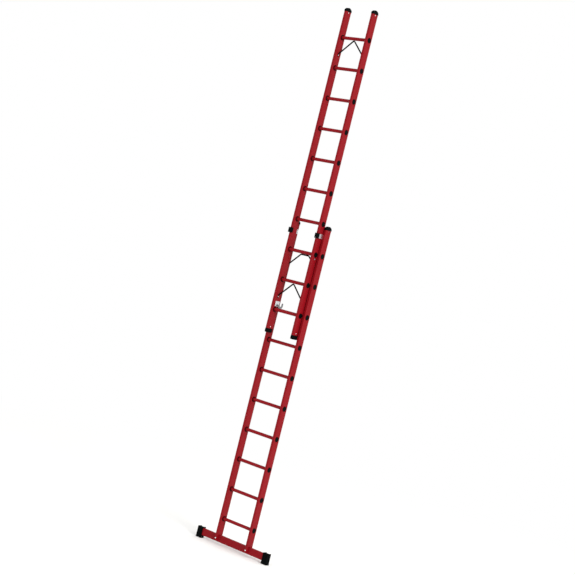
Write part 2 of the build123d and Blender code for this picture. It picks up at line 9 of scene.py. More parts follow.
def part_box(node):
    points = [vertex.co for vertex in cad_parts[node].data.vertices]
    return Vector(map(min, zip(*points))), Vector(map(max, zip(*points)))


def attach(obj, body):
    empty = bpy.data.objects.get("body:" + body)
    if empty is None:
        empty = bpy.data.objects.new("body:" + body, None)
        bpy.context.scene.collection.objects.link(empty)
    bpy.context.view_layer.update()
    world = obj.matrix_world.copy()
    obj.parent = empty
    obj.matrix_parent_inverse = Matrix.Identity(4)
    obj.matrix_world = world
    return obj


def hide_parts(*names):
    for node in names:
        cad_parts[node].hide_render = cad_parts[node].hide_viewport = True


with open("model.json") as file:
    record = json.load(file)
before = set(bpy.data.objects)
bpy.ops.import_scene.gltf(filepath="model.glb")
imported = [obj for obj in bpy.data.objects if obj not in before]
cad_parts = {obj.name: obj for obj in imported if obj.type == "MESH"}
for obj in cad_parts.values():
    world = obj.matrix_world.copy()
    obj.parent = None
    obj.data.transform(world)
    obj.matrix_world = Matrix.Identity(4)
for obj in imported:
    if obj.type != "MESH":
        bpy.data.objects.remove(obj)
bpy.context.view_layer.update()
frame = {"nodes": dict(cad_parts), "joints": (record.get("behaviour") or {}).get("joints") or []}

joints = {joint["name"]: joint for joint in frame["joints"]}
scene = bpy.context.scene
mm = 0.001
print("frame loaded:", len(frame["nodes"]), "nodes")


# small helpers

def toLinear(hexColour):
    parts = [int(hexColour[i:i + 2], 16) / 255 for i in (1, 3, 5)]
    return tuple(c / 12.92 if c <= 0.04045 else ((c + 0.055) / 1.055) ** 2.4 for c in parts) + (1.0,)


def addNode(tree, kind, inputs=None, **settings):
    node = tree.nodes.new(kind)
    for key, value in settings.items():
        setattr(node, key, value)
    for key, value in (inputs or {}).items():
        socket = node.inputs[key] if isinstance(key,
            int) else next(s for s in node.inputs if s.name == key and s.enabled)
        if isinstance(value, bpy.types.NodeSocket):
            tree.links.new(value, socket)
        else:
            socket.default_value = value
    return node


def roundCorners(corners, closed=True, steps=6):
    # corners are (u, v, radius); every arc is cut down where its neighbours are too near
    points = []
    for i, (u, v, radius) in enumerate(corners):
        here = Vector((u, v))
        if radius <= 0 or (not closed and i in (0, len(corners) - 1)):
            points.append(here)
            continue
        before = Vector(corners[i - 1][:2]) - here
        after = Vector(corners[(i + 1) % len(corners)][:2]) - here
        half = before.angle(after) / 2
        reach = min(radius / math.tan(half), 0.48 * before.length, 0.48 * after.length)
        start = here + before.normalized() * reach
        end = here + after.normalized() * reach
        centre = here + (before.normalized() + after.normalized()).normalized() * reach / math.cos(half)
        first = math.atan2(start.y - centre.y, start.x - centre.x)
        turn = math.atan2(end.y - centre.y, end.x - centre.x) - first
        turn = (turn + math.pi) % (2 * math.pi) - math.pi
        size = (start - centre).length
        for step in range(steps + 1):
            angle = first + turn * step / steps
            points.append(centre + Vector((math.cos(angle), math.sin(angle))) * size)
    return points


def roundedLoop(halfX, halfY, radius, steps=6):
    radius = min(radius, halfX * 0.98, halfY * 0.98)
    corners = ((halfX, halfY, 0), (-halfX, halfY, 90), (-halfX, -halfY, 180), (halfX, -halfY, 270))
    loop = []
    for x, y, start in corners:
        centre = (x - math.copysign(radius, x), y - math.copysign(radius, y))
        for step in range(steps + 1):
            angle = math.radians(start + 90 * step / steps)
            loop.append((centre[0] + radius * math.cos(angle), centre[1] + radius * math.sin(angle)))
    return loop


def ringAt(middle, loop, z):
    return [(middle.x + x, middle.y + y, z) for x, y in loop]


def inMetres(sizes):
    return {key: value * mm for key, value in sizes.items()}


def middleOf(node):
    low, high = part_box(node)
    return (low + high) / 2


def addLoft(bm, rings):
    loops = [[bm.verts.new(point) for point in ring] for ring in rings]
    for low, high in zip(loops, loops[1:]):
        for i in range(len(low)):
            bm.faces.new((low[i - 1], low[i], high[i], high[i - 1]))
    bm.faces.new(loops[0][::-1])
    bm.faces.new(loops[-1])


def addPrism(bm, outline, place, low, high, soften, steps=3):
    # place(u, v, w) turns a point of the outline at depth w into a point of the piece
    near = [bm.verts.new(place(u, v, low)) for u, v in outline]
    far = [bm.verts.new(place(u, v, high)) for u, v in outline]
    count = len(outline)
    faces = [bm.faces.new(near[::-1]), bm.faces.new(far)]
    for i in range(count):
        bm.faces.new((near[i - 1], near[i], far[i], far[i - 1]))
    if soften:
        rims = list({edge for face in faces for edge in face.edges})
        bmesh.ops.bevel(bm, geom=rims, offset=soften, segments=steps, profile=0.5, affect="EDGES",
            clamp_overlap=True)


def addTurned(bm, profile, segments=40, closed=False):
    # profile is (radius, height, hexagon) in millimetres, hexagon 1 for six flats and left out where round
    loops = []
    for radius, height, *hexagon in profile:
        hexagon = sum(hexagon)
        if radius == 0:
            loops.append([bm.verts.new((0, 0, height * mm))])
            continue
        loop = []
        for i in range(segments):
            angle = 2 * math.pi * i / segments
            flat = math.cos(math.pi / 6) / math.cos(angle % (math.pi / 3) - math.pi / 6)
            size = radius * mm * (1 + hexagon * (flat / math.cos(math.pi / 6) - 1))
            loop.append(bm.verts.new((size * math.cos(angle), size * math.sin(angle), height * mm)))
        loops.append(loop)
    pairs = list(zip(loops, loops[1:])) + ([(loops[-1], loops[0])] if closed else [])
    for low, high in pairs:
        for i in range(segments):
            ring = [low[(i - 1) % len(low)], low[i % len(low)], high[i % len(high)],
                high[(i - 1) % len(high)]]
            bm.faces.new(list(dict.fromkeys(ring)))


def toMesh(bm, name, surface=None, sharp=34):
    bmesh.ops.remove_doubles(bm, verts=bm.verts, dist=1e-6)
    bmesh.ops.recalc_face_normals(bm, faces=bm.faces)
    mesh = bpy.data.meshes.new(name)
    bm.to_mesh(mesh)
    bm.free()
    mesh.polygons.foreach_set("use_smooth", [True] * len(mesh.polygons))
    mesh.set_sharp_from_angle(angle=math.radians(sharp))
    if surface:
        mesh.materials.append(surface)
    return mesh


def place(name, mesh, body, slot, *nodes):
    piece = bpy.data.objects.new(name, mesh)
    scene.collection.objects.link(piece)
    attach(piece, body)
    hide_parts(*nodes)
    return piece


def growMesh(name, tree, sizes, start=None):
    # runs a node tree on a carrier object and gives back the plain mesh it makes
    carrier = bpy.data.objects.new(name, start or bpy.data.meshes.new(name))
    modifier = carrier.modifiers.new("grow", "NODES")
    modifier.node_group = tree
    for item in tree.interface.items_tree:
        if item.item_type == "SOCKET" and item.in_out == "INPUT" and item.name in sizes:
            modifier[item.identifier] = sizes[item.name]
    scene.collection.objects.link(carrier)
    view = bpy.context.evaluated_depsgraph_get()
    mesh = bpy.data.meshes.new_from_object(carrier.evaluated_get(view))
    carrier.modifiers.remove(modifier)
    bpy.data.objects.remove(carrier)
    mesh.name = name
    return mesh


def newTree(name, inputs):
    tree = bpy.data.node_groups.new(name, "GeometryNodeTree")
    for label, kind, default in inputs:
        socket = tree.interface.new_socket(label, in_out="INPUT", socket_type=kind)
        if default is not None:
            socket.default_value = default
    tree.interface.new_socket("Geometry", in_out="OUTPUT", socket_type="NodeSocketGeometry")
    return tree, tree.nodes.new("NodeGroupInput").outputs


def endTree(tree, geometry, surface):
    # every tree ends the same way, as one real mesh in one finish
    real = addNode(tree, "GeometryNodeRealizeInstances", {"Geometry": geometry})
    done = addNode(tree, "GeometryNodeSetMaterial",
        {"Geometry": real.outputs["Geometry"], "Material": surface})
    addNode(tree, "NodeGroupOutput", {"Geometry": done.outputs["Geometry"]})
    return tree


def xyz(tree, **parts):
    return addNode(tree, "ShaderNodeCombineXYZ", parts).outputs[0]


def times(tree, first, second):
    return addNode(tree, "ShaderNodeMath", {0: first, 1: second}, operation="MULTIPLY").outputs[0]


def joined(tree, parts):
    join = addNode(tree, "GeometryNodeJoinGeometry")
    for part in parts:
        tree.links.new(part, join.inputs["Geometry"])
    return join.outputs["Geometry"]


def newSurface(name):
    material = bpy.data.materials.new(name)
    material.use_nodes = True
    tree = material.node_tree
    tree.nodes.clear()
    shader = addNode(tree, "ShaderNodeBsdfPrincipled")
    addNode(tree, "ShaderNodeOutputMaterial", {"Surface": shader.outputs["BSDF"]})
    coords = addNode(tree, "ShaderNodeTexCoord").outputs["Object"]
    return material, tree, shader, coords


# finishes

grpFinish = {
    "resin": "#830A14",
    "paleStrand": "#8D0F1A",
    "darkStrand": "#780710",
    "strandWidth": 2.4,  # mm, the rovings that show under the resin
    "strandLength": 380.0,
    "patch": 260.0,
    "roughness": (0.36, 0.5),
    "ripple": 0.02,  # mm
}


def pultrudedPolyester(name, along):
    # pultruded glass-fibre polyester: satin red resin with long faint strands that run the way it was drawn
    material, tree, shader, coords = newSurface(name)
    fine = 1 / (grpFinish["strandWidth"] * mm)
    slow = 1 / (grpFinish["strandLength"] * mm)
    stretch = tuple(slow if axis == along else fine for axis in range(3))
    strandCoords = addNode(tree, "ShaderNodeMapping", {"Vector": coords, "Scale": stretch}).outputs["Vector"]
    strand = addNode(tree, "ShaderNodeTexNoise",
        {"Vector": strandCoords, "Scale": 1.0, "Detail": 4.0, "Roughness": 0.6})
    ramp = addNode(tree, "ShaderNodeValToRGB", {"Fac": strand.outputs["Fac"]})
    ramp.color_ramp.elements[0].position = 0.34
    ramp.color_ramp.elements[0].color = toLinear(grpFinish["darkStrand"])
    ramp.color_ramp.elements[1].position = 0.68
    ramp.color_ramp.elements[1].color = toLinear(grpFinish["paleStrand"])
    middle = ramp.color_ramp.elements.new(0.5)
    middle.color = toLinear(grpFinish["resin"])
    patch = addNode(tree, "ShaderNodeTexNoise",
        {"Vector": coords, "Scale": 1 / (grpFinish["patch"] * mm), "Detail": 2.0})
    tone = addNode(tree, "ShaderNodeMapRange", {"Value": patch.outputs["Fac"], "To Min": 0.93,
        "To Max": 1.06})
    colour = addNode(tree, "ShaderNodeHueSaturation",
        {"Color": ramp.outputs["Color"], "Value": tone.outputs["Result"]})
    tree.links.new(colour.outputs["Color"], shader.inputs["Base Color"])
    low, high = grpFinish["roughness"]
    dull = addNode(tree, "ShaderNodeMapRange", {"Value": strand.outputs["Fac"], "To Min": low,
        "To Max": high})
    tree.links.new(dull.outputs["Result"], shader.inputs["Roughness"])
    ripple = addNode(tree, "ShaderNodeBump", {"Height": strand.outputs["Fac"], "Strength": 0.35,
        "Distance": grpFinish["ripple"] * mm})
    tree.links.new(ripple.outputs["Normal"], shader.inputs["Normal"])
    shader.inputs["IOR"].default_value = 1.54
    shader.inputs["Specular IOR Level"].default_value = 0.09
    return material


mouldedFinish = {
    "nylon": {"dark": "#040606", "pale": "#070A0A", "grain": 0.9, "depth": 0.03, "roughness": (0.42, 0.58),
    "ior": 1.53, "specular": 0.027},
    "rubber": {"dark": "#050707", "pale": "#0A0D0D", "grain": 1.6, "depth": 0.06, "roughness": (0.66, 0.84),
    "ior": 1.52, "specular": 0.024},
    "enamel": {"dark": "#020303", "pale": "#040505", "grain": 2.2, "depth": 0.015, "roughness": (0.28, 0.4),
    "ior": 1.5, "specular": 0.035},
}


def mouldedBlack(name, finish):
    # nylon, rubber and enamel share one build: a fine even grain and a slow change of gloss
    material, tree, shader, coords = newSurface(name)
    grain = addNode(tree, "ShaderNodeTexNoise",
        {"Vector": coords, "Scale": 1 / (finish["grain"] * mm), "Detail": 3.0})
    patch = addNode(tree, "ShaderNodeTexNoise",
        {"Vector": coords, "Scale": 1 / (24 * mm), "Detail": 3.0, "Roughness": 0.65})
    colour = addNode(tree, "ShaderNodeMix", {"Factor": patch.outputs["Fac"], "A": toLinear(finish["dark"]),
        "B": toLinear(finish["pale"])}, data_type="RGBA")
    tree.links.new(next(s for s in colour.outputs if s.enabled), shader.inputs["Base Color"])
    low, high = finish["roughness"]
    dull = addNode(tree, "ShaderNodeMapRange", {"Value": patch.outputs["Fac"], "From Min": 0.3,
        "From Max": 0.7, "To Min": low, "To Max": high})
    tree.links.new(dull.outputs["Result"], shader.inputs["Roughness"])
    bump = addNode(tree, "ShaderNodeBump", {"Height": grain.outputs["Fac"], "Strength": 0.5,
        "Distance": finish["depth"] * mm})
    tree.links.new(bump.outputs["Normal"], shader.inputs["Normal"])
    shader.inputs["IOR"].default_value = finish["ior"]
    shader.inputs["Specular IOR Level"].default_value = finish["specular"]
    return material


metalFinish = {
    "rolled": {"pale": "#E3E4E6", "dark": "#C6C8CB", "stretch": (0.5, 60.0, 0.5), "roughness": (0.3, 0.46),
    "ripple": 0.01},
    "rivet": {"pale": "#76777A", "dark": "#5E5F61", "stretch": (1.2, 1.2, 1.2), "roughness": (0.26, 0.4),
    "ripple": 0.01},
    "zinc": {"pale": "#9A9B9C", "dark": "#777879", "stretch": (3.0, 3.0, 3.0), "roughness": (0.24, 0.42),
    "ripple": 0.015},
    "spring": {"pale": "#B8B9BA", "dark": "#8E9092", "stretch": (1.0, 1.0, 1.0), "roughness": (0.22, 0.34),
    "ripple": 0.005},
}


def bareMetal(name, finish):
    # rolled sheet keeps its fine parallel lines, plated steel its faint cloudy spangle
    material, tree, shader, coords = newSurface(name)
    scale = tuple(1 / (size * mm) for size in finish["stretch"])
    lineCoords = addNode(tree, "ShaderNodeMapping", {"Vector": coords, "Scale": scale}).outputs["Vector"]
    line = addNode(tree, "ShaderNodeTexNoise", {"Vector": lineCoords, "Scale": 1.0, "Detail": 4.0,
        "Roughness": 0.6})
    colour = addNode(tree, "ShaderNodeMix", {"Factor": line.outputs["Fac"], "A": toLinear(finish["dark"]),
        "B": toLinear(finish["pale"])}, data_type="RGBA")
    tree.links.new(next(s for s in colour.outputs if s.enabled), shader.inputs["Base Color"])
    low, high = finish["roughness"]
    dull = addNode(tree, "ShaderNodeMapRange", {"Value": line.outputs["Fac"], "From Min": 0.3,
        "From Max": 0.7, "To Min": low, "To Max": high})
    tree.links.new(dull.outputs["Result"], shader.inputs["Roughness"])
    bump = addNode(tree, "ShaderNodeBump", {"Height": line.outputs["Fac"], "Strength": 0.4,
        "Distance": finish["ripple"] * mm})
    tree.links.new(bump.outputs["Normal"], shader.inputs["Normal"])
    shader.inputs["Metallic"].default_value = 1.0
    return material


stilePolyester = pultrudedPolyester("pultrudedPolyesterStile", 2)  # drawn up the ladder
rungPolyester = pultrudedPolyester("pultrudedPolyesterRung", 0)  # drawn across it
blackNylon = mouldedBlack("mouldedNylon", mouldedFinish["nylon"])  # satin black, with a faint moulded grain
# dull, deeper grain, a little grey with dust
blackRubber = mouldedBlack("mouldedRubber", mouldedFinish["rubber"])
# smooth gloss with the slightest orange peel
blackEnamel = mouldedBlack("stovedEnamel", mouldedFinish["enamel"])
rolledAluminium = bareMetal("rolledAluminium", metalFinish["rolled"])  # pale and silky, lines along the strap
rivetAluminium = bareMetal("rivetAluminium", metalFinish["rivet"])  # bright small heads
zincSteel = bareMetal("zincPlatedSteel", metalFinish["zinc"])  # cooler and cloudier than the aluminium
springSteel = bareMetal("springSteel", metalFinish["spring"])  # darker drawn wire
print("finishes ready")


# the drawn sections keep their CAD shape and take their finish

for name, node in frame["nodes"].items():
    surface = None
    if "stile" in name:
        surface = stilePolyester
    elif name == "stabiliser_bar" or ("_rung_" in name and name[-2:].isdigit()):
        surface = rungPolyester
    elif name == "bar_spacers":
        surface = zincSteel
    if surface:
        node.data.materials.clear()
        node.data.materials.append(surface)

baseStileLow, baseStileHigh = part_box("base_stile_right")
flyStileLow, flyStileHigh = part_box("fly_stile_right")
flyMiddle = (flyStileLow.y + flyStileHigh.y) / 2
baseMiddle = (baseStileLow.y + baseStileHigh.y) / 2
rungHeights = {}
for section in ("base", "fly"):
    boxes = [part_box(f"{section}_rung_{number:02d}") for number in range(1, 11)]
    rungHeights[section] = [(low.z + high.z) / 2 for low, high in boxes]


# collars and plugs, one row up each side of a section

collar = {"bore": 15.05, "radius": 24.0, "thickness": 4.0, "lip": 1.3}
plug = {"spigot": 11.8, "reach": 11.0, "radius": 24.0, "thickness": 2.5, "rim": 3.4, "dish": 0.7}


def rungFittingTree():
    tree, given = newTree("rungFittings", (
        ("Fitting", "NodeSocketObject", None),
        ("Rung count", "NodeSocketInt", 10),
        ("Section depth", "NodeSocketFloat", 0.0),
        ("First rung", "NodeSocketFloat", 0.2),
        ("Rung pitch", "NodeSocketFloat", 0.28),
        ("Half spacing", "NodeSocketFloat", 0.15),
        ("Facing", "NodeSocketFloat", 1.0),
        ("Surface", "NodeSocketMaterial", None),
    ))
    fitting = addNode(tree, "GeometryNodeObjectInfo", {"Object": given["Fitting"], "As Instance": True})
    step = xyz(tree, Z=given["Rung pitch"])
    rows = []
    for side in (-1.0, 1.0):
        reach = times(tree, given["Half spacing"], side)
        start = xyz(tree, X=reach, Y=given["Section depth"], Z=given["First rung"])
        row = addNode(tree, "GeometryNodeMeshLine",
            {"Count": given["Rung count"], "Start Location": start, "Offset": step}, mode="OFFSET")
        turn = xyz(tree, Y=times(tree, given["Facing"], side * math.pi / 2))
        spin = addNode(tree, "FunctionNodeEulerToRotation", {"Euler": turn})
        row = addNode(tree, "GeometryNodeInstanceOnPoints", {
            "Points": row.outputs["Mesh"], "Instance": fitting.outputs["Geometry"],
            "Rotation": spin.outputs["Rotation"]})
        rows.append(row.outputs["Instances"])
    return endTree(tree, joined(tree, rows), given["Surface"])


fittings = []  # turned once, copied to every place, and taken away at the end


def turnedFitting(name, profile, segments=40, closed=False, sharp=34):
    bm = bmesh.new()
    addTurned(bm, profile, segments, closed)
    fitting = bpy.data.objects.new(name, toMesh(bm, name, None, sharp))
    scene.collection.objects.link(fitting)
    fittings.append(fitting)
    return fitting


def softRim(radius, top, lip, steps=5):
    # the quarter round where a turned side meets its top
    turns = [math.pi / 2 * i / steps for i in range(steps + 1)]
    return [(radius - lip * (1 - math.cos(a)), top - lip * (1 - math.sin(a))) for a in turns]


collarProfile = [(collar["bore"], 0), (collar["radius"] - 0.3, 0), (collar["radius"], 0.3)]
collarProfile += softRim(collar["radius"], collar["thickness"], collar["lip"])
collarProfile += [(19.6, 3.95), (17.2, 3.7), (15.8, 3.2), (collar["bore"], 2.5)]
plugProfile = [(0, -plug["reach"]), (plug["spigot"] - 0.8, -plug["reach"]),
    (plug["spigot"], 0.8 - plug["reach"]), (plug["spigot"], 0), (plug["radius"] - 0.2, 0),
    (plug["radius"], 0.2)]
plugProfile += softRim(plug["radius"], plug["thickness"], 1.1)
dishEdge = plug["radius"] - plug["rim"]
plugProfile += [(dishEdge, plug["thickness"]), (dishEdge - 0.5, plug["thickness"] - 0.3),
    (dishEdge - 0.9, plug["thickness"] - plug["dish"]), (6.0, plug["thickness"] - plug["dish"] + 0.2),
    (0, plug["thickness"] - plug["dish"] + 0.25)]
rungFittings = rungFittingTree()
collarFitting = turnedFitting("collarFitting", collarProfile, 44, closed=True)
plugFitting = turnedFitting("plugFitting", plugProfile, 44)
for section, low, high, depth in (("base", baseStileLow, baseStileHigh, baseMiddle),
        ("fly", flyStileLow, flyStileHigh, flyMiddle)):
    heights = rungHeights[section]
    shared = {"Rung count": len(heights), "Section depth": depth, "First rung": heights[0],
        "Rung pitch": heights[1] - heights[0], "Surface": blackNylon}
    for label, fitting, spacing, facing in (("Collars", collarFitting, low.x, -1.0),
            ("Plugs", plugFitting, high.x, 1.0)):
        mesh = growMesh(section + label, rungFittings,
            {**shared, "Fitting": fitting, "Half spacing": spacing, "Facing": facing})
        place(section + label, mesh, section, "black_plastic", f"{section}_rung_{label.lower()}")
print("collars and plugs on", sum(len(h) for h in rungHeights.values()), "rungs")


# moulded caps on the tops of the stiles

cap = {"corner": 5.0, "band": 13.0, "edge": 4.5, "hem": 0.7, "hemBand": 4.5, "step": 0.4, "spigotX": 8.8,
    "spigotY": 32.8, "cornerSteps": 8, "sideSteps": 12, "edgeSteps": 6}


def capLoop(halfX, halfY, radius):
    # starts with the rear left corner, so that left and right points pair off from the two ends of the list
    turns = roundedLoop(halfX, halfY, radius, cap["cornerSteps"])
    quarter = cap["cornerSteps"] + 1
    side = []
    for step in range(1, cap["sideSteps"]):
        start, end = turns[2 * quarter - 1], turns[2 * quarter]
        side.append((start[0], start[1] + (end[1] - start[1]) * step / cap["sideSteps"]))
    left = turns[quarter:2 * quarter] + side + turns[2 * quarter:3 * quarter]
    return left + [(-x, y) for x, y in left[::-1]]


def makeCap(name, body, node):
    low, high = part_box(node)
    middle = (low + high) / 2
    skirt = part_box(node.replace("cap", "stile"))[1].z  # the spigot goes on down inside the stile
    halfX, halfY = (high.x - low.x) / 2, (high.y - low.y) / 2
    rise = high.z - skirt - cap["band"] * mm
    bend = (halfY ** 2 + rise ** 2) / (2 * rise)  # radius of the arched top
    edge, step = cap["edge"] * mm, cap["step"] * mm
    levels = [(0, cap["hem"]), (0.35, 0.2), (cap["hem"], 0), (cap["hemBand"], 0),
        (cap["hemBand"] + 0.5, cap["step"])]
    rings = []
    for z, inset in levels:
        loop = capLoop(halfX - inset * mm, halfY - inset * mm, cap["corner"] * mm)
        rings.append(ringAt(middle, loop, skirt + z * mm))
    # every ring above the straight sides follows the arch
    insets = [(step, edge)]
    for i in range(1, cap["edgeSteps"] + 1):
        turn = math.pi / 2 * i / cap["edgeSteps"]
        insets.append((edge + (step - edge) * math.cos(turn), edge * (1 - math.sin(turn))))
    insets += [(edge + (halfX - edge) * t, 0) for t in (0.3, 0.6, 0.85)]
    for inset, drop in insets:
        loop = capLoop(halfX - inset, halfY - inset, max(cap["corner"] * mm - inset * 0.6, 1.2 * mm))
        rings.append([(middle.x + x, middle.y + y,
            high.z - bend + math.sqrt(bend ** 2 - y ** 2) - drop) for x, y in loop])
    bm = bmesh.new()
    loops = [[bm.verts.new(point) for point in ring] for ring in rings]
    for near, far in zip(loops, loops[1:]):
        for i in range(len(near)):
            bm.faces.new((near[i - 1], near[i], far[i], far[i - 1]))
    bm.faces.new(loops[0][::-1])
    ridge = loops[-1]
    for i in range(len(ridge) // 2 - 1):  # closes the crown with strips from left to right
        bm.faces.new((ridge[i], ridge[i + 1], ridge[-2 - i], ridge[-1 - i]))
    loop = roundedLoop(cap["spigotX"] * mm, cap["spigotY"] * mm, 1.5 * mm, 3)
    addLoft(bm, [ringAt(middle, loop, z) for z in (low.z, skirt + 1 * mm)])
    place(name, toMesh(bm, name, blackNylon, 40), body, "black_plastic", node)


for body in ("base", "fly"):
    for side in ("left", "right"):
        makeCap(f"{body}Cap{side.title()}", body, f"{body}_cap_{side}")
print("caps done")


# rubber shoes, grooved by a row of bars

def treadTree():
    tree, given = newTree("treadGrooves", (
        ("Geometry", "NodeSocketGeometry", None),
        ("Groove count", "NodeSocketInt", 4),
        ("First groove", "NodeSocketVector", (0, 0, 0)),
        ("Groove step", "NodeSocketVector", (0.013, 0, 0)),
        ("Groove size", "NodeSocketVector", (0.005, 0.2, 0.008)),
        ("Pocket middle", "NodeSocketVector", (0, 0, 0)),
        ("Pocket size", "NodeSocketVector", (0.01, 0.01, 0.01)),
        ("Surface", "NodeSocketMaterial", None),
    ))
    bar = addNode(tree, "GeometryNodeMeshCube", {"Size": given["Groove size"]})
    line = addNode(tree, "GeometryNodeMeshLine",
        {"Count": given["Groove count"], "Start Location": given["First groove"],
        "Offset": given["Groove step"]}, mode="OFFSET")
    bars = addNode(tree, "GeometryNodeInstanceOnPoints",
        {"Points": line.outputs["Mesh"], "Instance": bar.outputs["Mesh"]})
    pocket = addNode(tree, "GeometryNodeMeshCube", {"Size": given["Pocket size"]})
    pocketPlace = addNode(tree, "GeometryNodeTransform",
        {"Geometry": pocket.outputs["Mesh"], "Translation": given["Pocket middle"]})
    cutters = joined(tree, (bars.outputs["Instances"], pocketPlace.outputs["Geometry"]))
    cut = addNode(tree, "GeometryNodeMeshBoolean", {"Mesh 1": given["Geometry"], "Mesh 2": cutters},
        operation="DIFFERENCE", solver="EXACT")
    return endTree(tree, cut.outputs["Mesh"], given["Surface"])


def resharpen(mesh, sharp):
    mesh.polygons.foreach_set("use_smooth", [True] * len(mesh.polygons))
    mesh.set_sharp_from_angle(angle=math.radians(sharp))
    return mesh


shoe = {"length": 56.0, "depth": 40.0, "corner": 5.0, "flare": 5.0, "sole": 21.0, "waist": 6.5, "rib": 7.0,
    "ribRise": 4.0, "crown": 3.0, "grooves": 4, "groovePitch": 13.0, "grooveWidth": 5.0, "grooveDepth": 4.0}
treadGrooves = treadTree()
barLow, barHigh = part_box("stabiliser_bar")


def makeShoe(name, node):
    low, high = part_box(node)
    middle = (low + high) / 2
    side = 1 if middle.x > 0 else -1
    halfX, halfY = shoe["length"] / 2, shoe["depth"] / 2
    top = (high.z - low.z) / mm - shoe["ribRise"]
    flare, sole, waist = shoe["flare"], shoe["sole"], shoe["waist"]
    # (height, spread beyond the plain block), from the tread up to the crown
    levels = [(0, flare - 1.0), (0.4, flare - 0.3), (1.2, flare), (sole - 3, flare),
        (sole - 1.4, flare - 0.25), (sole - 0.3, flare - 1.1)]
    levels += [(sole - 0.3 + waist * t, (flare - 1.1) * (1 - t) ** 1.6) for t in (0.25, 0.5, 0.75, 1.0)]
    levels += [(top - shoe["crown"], 0)]
    levels += [(top - shoe["crown"] * (1 - math.sin(a)), -shoe["crown"] * (1 - math.cos(a))) for a in (0.4,
        0.8, 1.2, math.pi / 2)]
    rings = []
    for height, spread in levels:
        loop = roundedLoop((halfX + spread) * mm, (halfY + spread) * mm,
            (shoe["corner"] + max(spread, 0)) * mm)
        rings.append(ringAt(middle, loop, low.z + height * mm))
    bm = bmesh.new()
    addLoft(bm, rings)
    block = toMesh(bm, name + "Block", blackRubber)
    pocketInner = middle.x - side * (halfX + 20) * mm
    pocketOuter = (barHigh.x if side > 0 else barLow.x)
    gap = 0.2 * mm
    sizes = {
        "Groove count": shoe["grooves"],
        "First groove": (middle.x - shoe["groovePitch"] * (shoe["grooves"] - 1) / 2 * mm, middle.y, low.z),
        "Groove step": (shoe["groovePitch"] * mm, 0, 0),
        "Groove size": (shoe["grooveWidth"] * mm, 0.2, 2 * shoe["grooveDepth"] * mm),
        "Pocket middle": ((pocketInner + pocketOuter) / 2, middle.y, (barLow.z + barHigh.z) / 2),
        "Pocket size": (abs(pocketOuter - pocketInner), barHigh.y - barLow.y + 2 * gap,
        barHigh.z - barLow.z + 2 * gap),
        "Surface": blackRubber,
    }
    body = growMesh(name, treadGrooves, sizes, block)
    bm = bmesh.new()
    bm.from_mesh(body)
    ribLow = low.z + sole * mm
    ribMiddle, ribHalf = (high.z + ribLow) / 2, (high.z - ribLow) / 2
    outer = roundedLoop((halfY + shoe["ribRise"]) * mm, ribHalf, 4 * mm)
    inner = roundedLoop((halfY - 2.4) * mm, ribHalf - 4.4 * mm, 2.5 * mm)
    # (distance along the bar, outline, inset), across one face of a rib and mirrored for the other
    across = [(0.3, inner, 0), (0, outer, 1.1), (0.4, outer, 0.25), (1.2, outer, 0)]
    across += [(shoe["rib"] - depth, loop, inset) for depth, loop, inset in across[::-1]]
    for start in (-halfX, halfX - shoe["rib"]):
        loops = []
        for depth, loop, inset in across:
            shrinkY = 1 - inset / (halfY + shoe["ribRise"])
            shrinkZ = 1 - inset * mm / ribHalf
            x = middle.x + (start + depth) * mm
            loops.append([bm.verts.new((x, middle.y + u * shrinkY, ribMiddle + v * shrinkZ)) for u,
                v in loop])
        for near, far in zip(loops, loops[1:] + loops[:1]):
            for i in range(len(near)):
                bm.faces.new((near[i - 1], near[i], far[i], far[i - 1]))
    bmesh.ops.recalc_face_normals(bm, faces=bm.faces)
    bm.to_mesh(body)
    bm.free()
    place(name, resharpen(body, 38), "base", "black_rubber", node)


makeShoe("stabiliserShoeLeft", "rubber_foot_left")
makeShoe("stabiliserShoeRight", "rubber_foot_right")

flyShoe = {"toe": 10.0, "corner": 4.0, "grooves": 4, "groovePitch": 12.0, "grooveWidth": 4.0,
    "grooveDepth": 3.0}


def makeFlyShoe(name, node):
    low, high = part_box(node)
    middle = (low + high) / 2
    top = flyStileLow.z
    halfX, halfY = (high.x - low.x) / 2, (high.y - low.y) / 2
    toe = flyShoe["toe"] * mm
    rings = []
    for step in range(9):
        angle = math.pi / 2 * step / 8
        edge = 0.8 * mm * (1 - min(1, step / 2))
        loop = roundedLoop(halfX - edge, halfY - toe * (1 - math.sin(angle)), flyShoe["corner"] * mm)
        rings.append(ringAt(middle, loop, low.z + toe * (1 - math.cos(angle))))
    for z, inset in ((top - 7 * mm, 0), (top - 6.4 * mm, 0.5), (top - 0.6 * mm, 0.5), (top, 1.0)):
        loop = roundedLoop(halfX - inset * mm, halfY - inset * mm, flyShoe["corner"] * mm)
        rings.append(ringAt(middle, loop, z))
    bm = bmesh.new()
    addLoft(bm, rings)
    block = toMesh(bm, name + "Block", blackRubber)
    sizes = {
        "Groove count": flyShoe["grooves"],
        "First groove": (middle.x, middle.y - flyShoe["groovePitch"] * (flyShoe["grooves"] - 1) / 2 * mm,
        low.z),
        "Groove step": (0, flyShoe["groovePitch"] * mm, 0),
        "Groove size": (0.2, flyShoe["grooveWidth"] * mm, 2 * flyShoe["grooveDepth"] * mm),
        "Pocket middle": (middle.x, middle.y, high.z + 0.2),  # clear of the shoe, so nothing more is cut
        "Pocket size": (0.01, 0.01, 0.01),
        "Surface": blackRubber,
    }
    mesh = growMesh(name, treadGrooves, sizes, block)
    place(name, resharpen(mesh, 38), "fly", "black_rubber", node)


makeFlyShoe("flyShoeLeft", "fly_foot_left")
makeFlyShoe("flyShoeRight", "fly_foot_right")
print("rubber shoes done")


# guides: an aluminium strap through a moulded block

strap = {"nose": 3.0, "tail": 7.0, "soften": 0.5}
block = {"frontCorner": 4.5, "innerCorner": 1.5, "lipCorner": 2.0, "soften": 1.4, "gap": 0.5,
             "lipDepth": 12.0}


